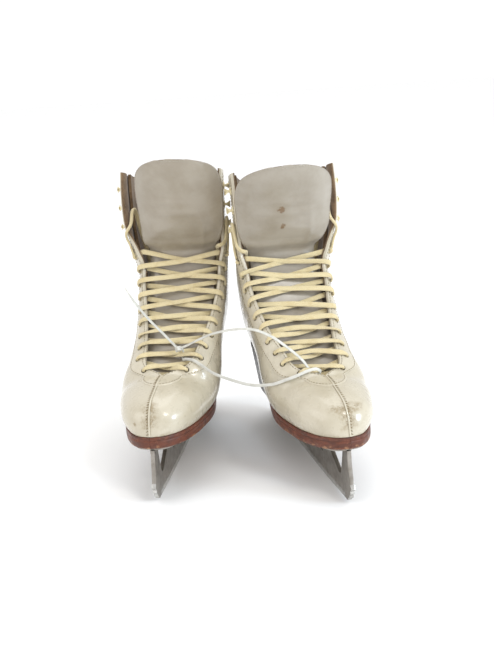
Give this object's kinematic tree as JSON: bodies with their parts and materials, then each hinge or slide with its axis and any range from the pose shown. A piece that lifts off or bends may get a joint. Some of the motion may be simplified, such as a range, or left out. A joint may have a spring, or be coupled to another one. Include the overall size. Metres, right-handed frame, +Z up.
{
  "type": "figure skates",
  "caption": "Pair of lace-up figure skates: leather boots with tall tongues, heels and toe-pick steel blades, held together by a cable tie.",
  "frame": {"origin": "on the ice surface under the middle of the pair's bounding box", "axes": "+Z up, -Y towards the toes, +X towards the outer side of the left skate"},
  "size_m": [0.2292, 0.2958, 0.2913],
  "materials": {
    "white_leather": "glossy coated leather, off-white with cool highlights, scuffed",
    "tongue_leather": "glossy thin leather, pale grey, creased",
    "lining_suede": "napped brown suede",
    "footbed_felt": "pressed felt with a worn cover",
    "sole_leather": "lacquered reddish-brown sole leather",
    "heel_black": "black lacquered stacked leather",
    "steel": "nickel-plated steel, satin, lightly worn",
    "hook_paint": "cream enamel, chipped at the rim",
    "lace_cotton": "flat woven cotton, cream yellow",
    "aglet_plastic": "clear-coated tip, yellowed",
    "tie_nylon": "natural nylon, slightly translucent"
  },
  "bodies": {
    "boots": {"right_upper_medial": "white_leather", "right_upper_lateral": "white_leather", "right_lining": "lining_suede", "right_backstay": "white_leather", "right_outsole": "sole_leather", "right_heel": "heel_black", "right_footbed": "footbed_felt", "right_toe_plate": "steel", "right_heel_plate": "steel", "right_blade": "steel", "right_tongue_lower": "tongue_leather", "right_lacing": "lace_cotton", "right_lace_tail_lateral": "lace_cotton", "right_lace_tail_medial": "lace_cotton", "right_aglet_lateral": "aglet_plastic", "right_aglet_medial": "aglet_plastic", "right_toe_screw_1": "steel", "right_toe_screw_2": "steel", "right_toe_screw_3": "steel", "right_toe_screw_4": "steel", "right_heel_screw_1": "steel", "right_heel_screw_2": "steel", "right_hook_medial_1": "hook_paint", "right_hook_medial_2": "hook_paint", "right_hook_medial_3": "hook_paint", "right_hook_lateral_1": "hook_paint", "right_hook_lateral_2": "hook_paint", "right_hook_lateral_3": "hook_paint", "left_upper_medial": "white_leather", "left_upper_lateral": "white_leather", "left_lining": "lining_suede", "left_backstay": "white_leather", "left_outsole": "sole_leather", "left_heel": "heel_black", "left_footbed": "footbed_felt", "left_toe_plate": "steel", "left_heel_plate": "steel", "left_blade": "steel", "left_tongue_lower": "tongue_leather", "left_lacing": "lace_cotton", "left_lace_tail_lateral": "lace_cotton", "left_lace_tail_medial": "lace_cotton", "left_aglet_lateral": "aglet_plastic", "left_aglet_medial": "aglet_plastic", "left_toe_screw_1": "steel", "left_toe_screw_2": "steel", "left_toe_screw_3": "steel", "left_toe_screw_4": "steel", "left_heel_screw_1": "steel", "left_heel_screw_2": "steel", "left_hook_medial_1": "hook_paint", "left_hook_medial_2": "hook_paint", "left_hook_medial_3": "hook_paint", "left_hook_lateral_1": "hook_paint", "left_hook_lateral_2": "hook_paint", "left_hook_lateral_3": "hook_paint", "cable_tie": "tie_nylon"},
    "right_tongue": {"right_tongue_flap": "tongue_leather"},
    "left_tongue": {"left_tongue_flap": "tongue_leather"}
  },
  "joints": [
    {"name": "right_tongue_tilt", "type": "hinge", "parent": "boots", "child": "right_tongue", "pos_m": [-0.05068, 0.03123, 0.198], "axis": [0.9879, -0.1549, 0], "range_deg": [0, 35]},
    {"name": "left_tongue_tilt", "type": "hinge", "parent": "boots", "child": "left_tongue", "pos_m": [0.04535, -0.00159, 0.198], "axis": [0.9766, 0.2151, 0], "range_deg": [0, 35]}
  ]
}
